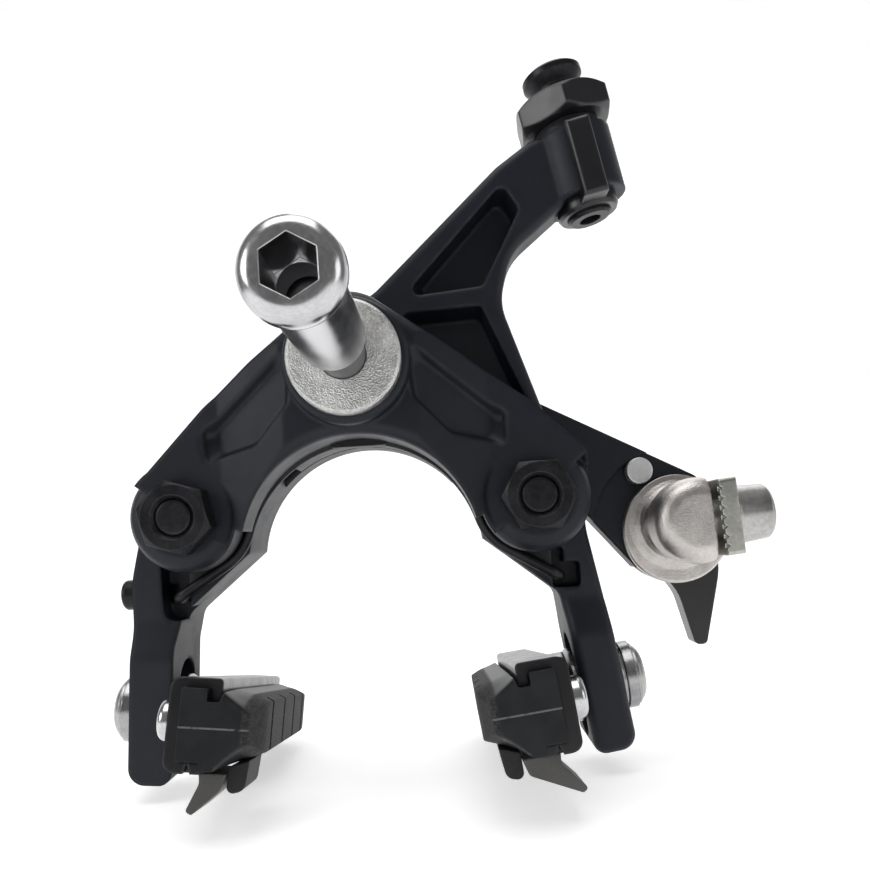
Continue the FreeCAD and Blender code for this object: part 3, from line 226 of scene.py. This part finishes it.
def coated(name, dark, pale, edge_colour, gloss, grain_mm, relief_mm, edge_mm, specular, coat=0.0):
    """A dark coat: colour = dark to pale by cloudy noise, then edge_colour on worn edges.
    Roughness = gloss plus smudges and grain, lower on edges. Relief = fine noise of grain_mm."""
    bench = Bench(name)
    cloud = bench.noise(size_mm=9.0, detail=4.0)
    speckle = bench.noise(grain_mm, detail=3.0, rough=0.6)
    worn = bench.edges(edge_mm) * bench.noise(size_mm=1.6, detail=3.0).step(0.35, 0.75)
    ground = bench.blend((cloud * 0.7 + speckle * 0.3).step(0.25, 0.8), dark, pale)
    colour = bench.blend(worn * COAT_WEAR, ground, edge_colour)
    smudge = bench.noise(size_mm=4.0, detail=5.0, rough=0.65).step(0.4, 0.7)
    return bench.finish({
        "Base Color": colour,
        "Roughness": gloss + smudge * COAT_SMUDGE - worn * COAT_POLISH + speckle * COAT_GRAIN,
        "Specular IOR Level": specular,
        "Coat Weight": coat,
        "Coat Roughness": 0.18,
        "Normal": bench.bump(speckle, relief_mm, bench.soft_normal(edge_mm)),
    })


COATS = {
    "black_forging": dict(
        name="satin_black_forging", dark=rgb(0.0045, 0.0055, 0.0105), pale=rgb(0.008, 0.0095, 0.016),
        edge_colour=rgb(0.035, 0.038, 0.05), gloss=0.42, grain_mm=0.22, relief_mm=0.014, edge_mm=0.9,
        specular=0.32),
    "black_gloss": dict(
        name="gloss_black_enamel", dark=rgb(0.004, 0.004, 0.0055), pale=rgb(0.008, 0.008, 0.0105),
        edge_colour=rgb(0.10, 0.105, 0.125), gloss=0.30, grain_mm=0.35, relief_mm=0.005, edge_mm=0.50,
        specular=0.40, coat=0.2),
    "black_plastic": dict(
        name="moulded_black_plastic", dark=rgb(0.009, 0.009, 0.010), pale=rgb(0.016, 0.016, 0.017),
        edge_colour=rgb(0.04, 0.04, 0.04), gloss=0.46, grain_mm=0.16, relief_mm=0.014, edge_mm=0.25,
        specular=0.3),
    "pad_rubber": dict(
        name="pad_rubber", dark=rgb(0.010, 0.010, 0.011), pale=rgb(0.028, 0.027, 0.027),
        edge_colour=rgb(0.12, 0.12, 0.118), gloss=0.56, grain_mm=0.28, relief_mm=0.05, edge_mm=0.35,
        specular=0.4),
    "grey_fin": dict(
        name="grey_fin_plastic", dark=rgb(0.060, 0.058, 0.056), pale=rgb(0.10, 0.097, 0.094),
        edge_colour=rgb(0.24, 0.23, 0.22), gloss=0.38, grain_mm=0.3, relief_mm=0.01, edge_mm=0.3,
        specular=0.5),
}
FINISH = {key: coated(**numbers) for key, numbers in COATS.items()}
print(len(FINISH), "coated finishes")

# %% [markdown]
# ## Metal finishes
# Bare metals differ by how they were cut: a polished nut shows fine rings from the lathe, a blasted washer
# sparkles with tiny pits, and a black-oxide screw is dark and slightly oily. Each could be its own tree.
# One function with pits, streaks and smears as amounts keeps them alike where the real metals are alike.

# %% Bright and dark metals
METAL_WEAR = 0.6           # share of the edge colour where an edge is fully rubbed
METAL_SMEAR, METAL_BRUSH = 0.06, 0.06   # roughness from smears and from streaks


def metal(name, base, tint, edge_colour, gloss, pit_mm, relief_mm, edge_mm=0.25, streak=(1, 1, 1),
          metallic=1.0):
    """Metal: colour = base to tint by cloudy smears, edge_colour on rubbed edges.
    Roughness = gloss plus smears and streaks. Relief = scattered pits of pit_mm plus streaks."""
    bench = Bench(name)
    smear = bench.noise(size_mm=3.5, detail=4.0, rough=0.6)
    brushed = bench.noise(size_mm=0.5, detail=3.0, stretch=streak)
    pits = bench.grains(pit_mm)
    worn = bench.edges(edge_mm) * bench.noise(size_mm=1.1, detail=2.0).step(0.3, 0.65)
    ground = bench.blend((smear * 0.6 + brushed * 0.4).step(0.3, 0.72), base, tint)
    return bench.finish({
        "Base Color": bench.blend(worn * METAL_WEAR, ground, edge_colour),
        "Roughness": gloss + smear.step(0.35, 0.7) * METAL_SMEAR + brushed * METAL_BRUSH,
        "Metallic": metallic,
        "Normal": bench.bump(pits * 0.7 + brushed * 0.3, relief_mm, bench.soft_normal(edge_mm)),
    })


METALS = {
    "polished_nut": dict(
        name="polished_nut_steel", base=rgb(0.46, 0.46, 0.47), tint=rgb(0.62, 0.62, 0.63),
        edge_colour=rgb(0.85, 0.85, 0.86), gloss=0.17, pit_mm=0.9, relief_mm=0.002, edge_mm=0.2,
        streak=(1, 6, 1)),
    "plated_washer": dict(
        name="blasted_washer_steel", base=rgb(0.46, 0.455, 0.445), tint=rgb(0.74, 0.735, 0.725),
        edge_colour=rgb(0.8, 0.8, 0.8), gloss=0.36, pit_mm=0.20, relief_mm=0.09),
    "turned_washer": dict(
        name="turned_washer_steel", base=rgb(0.26, 0.26, 0.265), tint=rgb(0.44, 0.44, 0.445),
        edge_colour=rgb(0.62, 0.62, 0.63), gloss=0.20, pit_mm=0.7, relief_mm=0.01, edge_mm=0.3,
        streak=(5, 1, 1)),
    "satin_cam": dict(
        name="blasted_cam_aluminium", base=rgb(0.46, 0.43, 0.41), tint=rgb(0.62, 0.59, 0.565),
        edge_colour=rgb(0.75, 0.74, 0.73), gloss=0.34, pit_mm=0.22, relief_mm=0.035),
    "zinc_plate": dict(
        name="zinc_plated_clamp", base=rgb(0.36, 0.365, 0.34), tint=rgb(0.52, 0.515, 0.46),
        edge_colour=rgb(0.75, 0.75, 0.72), gloss=0.28, pit_mm=0.6, relief_mm=0.012),
    "satin_bolt": dict(
        name="satin_bolt_steel", base=rgb(0.33, 0.325, 0.32), tint=rgb(0.50, 0.49, 0.48),
        edge_colour=rgb(0.8, 0.8, 0.8), gloss=0.26, pit_mm=0.5, relief_mm=0.006),
    "satin_pin": dict(
        name="frosted_pin_steel", base=rgb(0.66, 0.66, 0.66), tint=rgb(0.78, 0.78, 0.78),
        edge_colour=rgb(0.85, 0.85, 0.85), gloss=0.42, pit_mm=0.2, relief_mm=0.01),
    "dark_steel": dict(
        name="dark_bolt_steel", base=rgb(0.09, 0.09, 0.095), tint=rgb(0.15, 0.15, 0.155),
        edge_colour=rgb(0.4, 0.4, 0.4), gloss=0.30, pit_mm=0.5, relief_mm=0.006),
    "black_oxide": dict(
        name="black_oxide_steel", base=rgb(0.012, 0.012, 0.014), tint=rgb(0.028, 0.028, 0.031),
        edge_colour=rgb(0.12, 0.12, 0.125), gloss=0.32, pit_mm=0.35, relief_mm=0.006, metallic=0.75),
    "spring_wire": dict(
        name="spring_wire_steel", base=rgb(0.018, 0.018, 0.02), tint=rgb(0.035, 0.035, 0.038),
        edge_colour=rgb(0.1, 0.1, 0.1), gloss=0.36, pit_mm=0.4, relief_mm=0.004, edge_mm=0.15,
        streak=(1, 1, 4), metallic=0.9),
    "bronze": dict(
        name="oiled_bronze", base=rgb(0.36, 0.21, 0.09), tint=rgb(0.50, 0.32, 0.15),
        edge_colour=rgb(0.65, 0.45, 0.24), gloss=0.30, pit_mm=0.3, relief_mm=0.006),
}
FINISH.update({key: metal(**numbers) for key, numbers in METALS.items()})
print(len(FINISH), "finishes in all")

# %% [markdown]
# ## Finishes on the CAD nodes
# Every node of the model gets its finish here. The finish goes into the node's own material slots, which
# changes the look and leaves the mesh alone. Painting copies of the meshes would work too, but then two
# shapes would have to agree.

# %% Dress every CAD node
SIDES = ("left", "right")


def both(*names):
    """Each name with _left and with _right behind it."""
    return [f"{name}_{side}" for name in names for side in SIDES]


WEARS = {
    "black_forging": ["rear_bridge", "barrel_arm", "anchor_arm"],
    "black_gloss": ["release_lever", "adjuster_ring", "barrel_clip", *both("shoe_holder")],
    "black_plastic": ["sync_roller", "spring_saddle", "ring_seal"],
    "black_oxide": ["spring_screw", "lever_screw", "adjusting_barrel", *both("pivot_nut", "pivot_bolt")],
    "pad_rubber": both("brake_pad", "fin_block"),
    "grey_fin": both("guide_fin"),
    "dark_steel": ["mount_bolt", "sync_pin"],
    "polished_nut": ["sleeve_nut", *both("pad_screw")],
    "plated_washer": ["mount_washer"],
    "turned_washer": both("inner_cup_washer", "inner_dome_washer", "outer_cup_washer", "outer_dome_washer"),
    "satin_pin": ["stop_pin"],
    "satin_cam": ["release_cam", "anchor_stud"],
    "zinc_plate": ["clamp_plate"],
    "satin_bolt": ["clamp_bolt", *both("shoe_stud", "shoe_nut")],
    "spring_wire": ["return_spring"],
    "bronze": both("pivot_bush"),
}


def dress(piece, finish):
    """Puts one finish in all of a piece's material slots."""
    piece.data.materials.clear()
    piece.data.materials.append(FINISH[finish])


for finish, names in WEARS.items():
    for name in names:
        dress(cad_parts[name], finish)
undressed = set(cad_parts) - {name for names in WEARS.values() for name in names}
print("nodes dressed:", len(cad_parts) - len(undressed), "left plain:", sorted(undressed))

# %% [markdown]
# ## The rubber pads
# A brake pad is one moulding: a root that fills the metal holder, and a block whose inner face rubs on the
# rim. The block gets lower and shorter towards both ends, has grooves across its face, and a fine mould
# seam on its ends. A CAD extrusion can't taper like that, so each pad is a new skin: one closed section,
# swept along the pad's length on a grid of section x length, and shrunk towards both ends.

# %% Section and sweep of a pad, in millimetres
MM = 0.001
PAD_HALF = 27.0                              # half the pad's length
END_ROWS = (0, 0.15, 0.4, 0.9, 1.7, 2.6, 3.6, 4.6, 6.0, 7.5, 9.0)   # distances of rows from each end
GROOVES = (-17.25, -5.75, 5.75, 17.25)       # middles of the grooves across the friction face
GROOVE_FOOT, GROOVE_HALF, GROOVE_TOP = 0.5, 0.55, 0.62   # half widths: last low row, limit, first high row
GROOVE_DEPTH = 1.0
LIP, FACE = -13.25, -18.4                    # where the pad leaves the holder, and its friction face
LOWER_BY, LOWER_RUN = 0.40, 8.0              # share of height lost towards an end, and over what length
SHORTER_BY, SHORTER_RUN = 0.26, 6.0          # the same for the reach towards the rim
NOSE_BY, NOSE_RUN = 0.10, 1.2                # the rounding of the very end
PAD_CORNERS = np.array([
    (-8.65, -4.35), (-8.65, 4.35), (-11.75, 4.35), (-11.75, 2.75), (-13.25, 2.75), (-13.75, 4.3),
    (-16.8, 3.6), (-18.4, 2.9), (-18.4, -3.5), (-13.65, -5.3), (-11.45, -5.5), (-11.45, -4.35)])
SHOE_ANGLES = {"left": (7.3, 9.6, 3.7), "right": (6.6, 6.8, -0.6)}   # cant, pitch and toe in degrees
SHOE_AT = {"left": (32.4, 19.4, -47.3), "right": (32.8, 19.4, -46.6)}


def ease(t):
    """0 below 0, 1 above 1, and a smooth rise 3t^2 - 2t^3 between."""
    t = np.clip(t, 0, 1)
    return t * t * (3 - 2 * t)


def rounded_loop(corners, spacing=0.55, passes=2):
    """A closed outline cut into short runs, whose corners are then cut off twice: each point moves to the
    quarter points of its runs. The result is points x 2, evenly fine and softly rounded."""
    ends = np.roll(corners, -1, 0)
    runs = [np.linspace(a, b, max(2, int(np.linalg.norm(b - a) / spacing)), endpoint=False)
            for a, b in zip(corners, ends)]
    loop = np.concatenate(runs)
    for _ in range(passes):
        after = np.roll(loop, -1, 0)
        loop = np.stack([loop * 0.75 + after * 0.25, loop * 0.25 + after * 0.75], 1).reshape(-1, 2)
    return loop


def pad_rows():
    """Length positions of the sweep, closer together at the grooves and the ends."""
    walls = np.add.outer(GROOVES, (-GROOVE_TOP, -GROOVE_FOOT, GROOVE_FOOT, GROOVE_TOP)).ravel()
    ends = PAD_HALF - np.array(END_ROWS)
    return np.unique(np.concatenate([walls, ends, -ends, np.linspace(-16, 16, 25)]))


def pad_skin():
    """Points of the pad about its bolt, x outward, y forward, z up: rows x section x 3.
    Out of the holder a point's height shrinks by 40 % and its reach by 26 % towards the ends, the last
    millimetre is rounded, and a point of the friction face sinks by 1 mm in a groove."""
    loop = rounded_loop(PAD_CORNERS)
    y = pad_rows()[:, None]
    x, z = loop[None, :, 0], loop[None, :, 1]
    out = np.clip((LIP - x) / (LIP - FACE), 0, 1)
    from_end = PAD_HALF - np.abs(y)
    lower = 1 - LOWER_BY * (1 - ease(from_end / LOWER_RUN)) * out
    shorter = 1 - SHORTER_BY * (1 - ease(from_end / SHORTER_RUN))
    to_end = 1 - np.clip(from_end / NOSE_RUN, 0, 1)
    nose = 1 - NOSE_BY * (1 - np.sqrt(np.clip(1 - to_end ** 2, 0, 1))) * (out > 0)
    groove = np.max([np.abs(y - g) < GROOVE_HALF for g in GROOVES], 0) * ease((out - 0.80) / 0.15)
    new_x = np.where(out > 0, LIP + (x - LIP) * shorter * nose, x) + groove * GROOVE_DEPTH
    return np.stack([new_x, np.broadcast_to(y, new_x.shape), z * lower * nose], -1)


def strips(left, right):
    """Four-sided faces between each row of point numbers and the next, from a left and a right column set."""
    return np.stack([left[:-1], right[:-1], right[1:], left[1:]], -1).reshape(-1, 4).tolist()


def made_of(name, points, faces):
    """A new object from points and faces, in the scene."""
    mesh = bpy.data.meshes.new(name)
    mesh.from_pydata(points.tolist(), [], faces)
    made = bpy.data.objects.new(name, mesh)
    bpy.context.scene.collection.objects.link(made)
    return made


def capped(name, rows, place):
    """A closed tube from rows of points, with one flat many-sided face on each end. place turns all the
    points into the model's frame at once, and "spot" keeps where each point was before."""
    index = np.arange(rows.shape[0] * rows.shape[1]).reshape(rows.shape[:2])
    local = rows.reshape(-1, 3)
    ends = [index[0].tolist(), index[-1].tolist()]
    made = made_of(name, place(local), strips(index, np.roll(index, -1, 1)) + ends)
    spot = made.data.attributes.new("spot", "FLOAT_VECTOR", "POINT")
    spot.data.foreach_set("vector", local.astype(np.float32).ravel())
    return made


def closed_and_outward(piece, join_mm=0.02, sharp_degrees=38):
    """Joins points that lie together, turns every face outward, marks steep edges as sharp, and shades the
    many-sided end faces flat."""
    work = bmesh.new()
    work.from_mesh(piece.data)
    bmesh.ops.remove_doubles(work, verts=work.verts, dist=join_mm * MM)
    bmesh.ops.recalc_face_normals(work, faces=work.faces)
    work.to_mesh(piece.data)
    work.free()
    piece.data.shade_smooth()
    piece.data.set_sharp_from_angle(angle=math.radians(sharp_degrees))
    corners = np.zeros(len(piece.data.polygons), np.int32)
    piece.data.polygons.foreach_get("loop_total", corners)
    piece.data.polygons.foreach_set("use_smooth", corners <= 4)
    return piece


def shoe_place(side):
    """Turns points about a shoe's bolt into the model's frame: pitch, toe and cant, then out to the leg. The
    left shoe is the right one's mirror image, with its own angles."""
    cant, pitch, toe = (math.radians(degrees) for degrees in SHOE_ANGLES[side])
    matrix = turn("Y", -cant) @ turn("Z", -toe) @ turn("X", -pitch)
    mirror = np.array([1 if side == "right" else -1, 1, 1])
    return lambda points: (points @ matrix.T + np.array(SHOE_AT[side])) * mirror * MM


skin = pad_skin()
print("pad skin:", skin.shape, "x from", skin[..., 0].min().round(2), "to", skin[..., 0].max().round(2))

# %% [markdown]
# ## Pad rubber
# The moulding is smooth and slightly glossy, the block that rubs on the rim is rough with grey dust in it,
# and the seam on the ends is a thin pale line. The finish reads "spot", the place of each point on the pad
# itself, so both pads wear the same pattern whichever way they are turned.

# %% The pad's finish and both pads
SEAM_Z = -0.35             # height of the mould seam, in mm
BLOCK_X = -16.2            # beyond this the pad is rough
END_Y = (26.3, 26.9)       # the seam fades in between these distances from the middle


def moulded_pad():
    """Colour: near black, greyer where the block is rough, pale on the seam. Relief: coarse grain on the
    block."""
    bench = Bench("moulded_pad_rubber")
    spot = bench.node("ShaderNodeAttribute", {"attribute_name": "spot"}, output="Vector")
    x, y, z = bench.split(spot)
    off_seam = abs(z - SEAM_Z)
    at_end = abs(y).step(*END_Y)
    wobble = bench.noise(size_mm=0.6, detail=3.0)
    seam = (1 - off_seam.step(0.05, 0.16)) * at_end * wobble.step(0.25, 0.5)
    block = (BLOCK_X - x).step(-0.3, 0.3)
    grain = bench.noise(size_mm=0.35, detail=4.0, rough=0.7)
    cloud = bench.noise(size_mm=3.0, detail=4.0)
    smooth = bench.blend(cloud.step(0.3, 0.7), rgb(0.0055, 0.006, 0.0085), rgb(0.011, 0.012, 0.015))
    dusty = bench.blend(grain.step(0.4, 0.75), rgb(0.010, 0.010, 0.011), rgb(0.055, 0.054, 0.052))
    colour = bench.blend(seam * 0.8, bench.blend(block, smooth, dusty), rgb(0.16, 0.16, 0.165))
    relief = grain * (block * 0.8 + 0.2) + seam * 0.6
    return bench.finish({
        "Base Color": colour,
        "Roughness": 0.38 + block * 0.30 + cloud * 0.08,
        "Specular IOR Level": 0.32,
        "Normal": bench.bump(relief, depth_mm=0.06, normal=bench.soft_normal(radius_mm=0.25)),
    })


FINISH["moulded_pad"] = moulded_pad()
for side in SIDES:
    pad = closed_and_outward(capped(f"rubber_pad_{side}", skin, shoe_place(side)))
    dress(pad, "moulded_pad")
    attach(pad, f"shoe_{side}")
    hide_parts(f"brake_pad_{side}")
    print(pad.name, len(pad.data.polygons), "faces")

# %% [markdown]
# ## Floor and light
# A pale sheet curves up behind the caliper, so there is no line where floor meets wall. It is a grid: one
# parameter runs across, the other runs along the floor and up a quarter circle. It glows a little, which
# keeps it even. Large soft lamps above and at both sides give the broad highlights that satin black needs.
# One small lamp would be simpler, but its highlights would be hard spots.

# %% The pale floor sweep
FLOOR_LEVEL = cad_low.z - 0.001
FLOOR_GLOW = 0.56


def floor_sweep(level, near, far, bend, half_width):
    """The floor is flat from near to far, then a quarter circle of radius bend, then a wall twice as high."""
    angle = np.linspace(0, math.pi / 2, 24)
    y = np.concatenate([[near], far + bend * np.sin(angle), [far + bend]])
    z = np.concatenate([[level], level + bend * (1 - np.cos(angle)), [level + 3 * bend]])
    x, y = np.meshgrid(np.linspace(-half_width, half_width, 3), y)
    points = np.stack([x, y, np.repeat(z[:, None], 3, 1)], -1)
    index = np.arange(x.size).reshape(x.shape)
    made = made_of("floor", points.reshape(-1, 3), strips(index[:, :-1], index[:, 1:]))
    made.data.shade_smooth()
    return made


floor = floor_sweep(FLOOR_LEVEL, near=-0.9, far=0.35, bend=0.30, half_width=1.6)
floor_bench = Bench("pale_floor")
floor_cloud = floor_bench.noise(size_mm=60.0, detail=3.0).step(0.3, 0.7)
floor_tone = floor_bench.blend(floor_cloud, rgb(0.86, 0.86, 0.86), rgb(0.90, 0.90, 0.90))
floor.data.materials.append(floor_bench.finish({
    "Base Color": floor_tone,
    "Roughness": 0.9,
    "Emission Color": floor_tone,
    "Emission Strength": FLOOR_GLOW,
}))
print("floor at", round(FLOOR_LEVEL * 1000, 1), "mm")

# %% Lamps and surround
MIDDLE = (0.0, 0.01, -0.02)      # the point that every lamp faces
WORLD_STRENGTH = 0.20
LAMPS = {                        # place, size in metres, power in watts
    "overhead": ((-0.05, -0.10, 0.55), 0.45, 1.7),
    "left_front": ((-0.50, -0.30, 0.20), 0.25, 1.1),
    "right_front": ((0.50, -0.25, 0.10), 0.25, 0.35),
    "behind": ((0.10, 0.30, 0.40), 0.35, 0.5),
}


def soft_lamp(name, place, size, power):
    """A square lamp that faces the middle."""
    data = bpy.data.lights.new(name, "AREA")
    data.shape = "SQUARE"
    data.size = size
    data.energy = power
    lamp = bpy.data.objects.new(name, data)
    lamp.location = place
    away = np.array(place) - np.array(MIDDLE)
    lamp.rotation_mode = "QUATERNION"
    lamp.rotation_quaternion = Vector((0, 0, 1)).rotation_difference(Vector(away.tolist()))
    bpy.context.scene.collection.objects.link(lamp)


for name, numbers in LAMPS.items():
    soft_lamp(name, *numbers)
world = bpy.data.worlds.new("surround")
world.use_nodes = True
world.node_tree.nodes["Background"].inputs[0].default_value = rgb(1.0, 1.0, 1.0)
world.node_tree.nodes["Background"].inputs[1].default_value = WORLD_STRENGTH
bpy.context.scene.world = world
bpy.context.scene.view_settings.view_transform = "Standard"
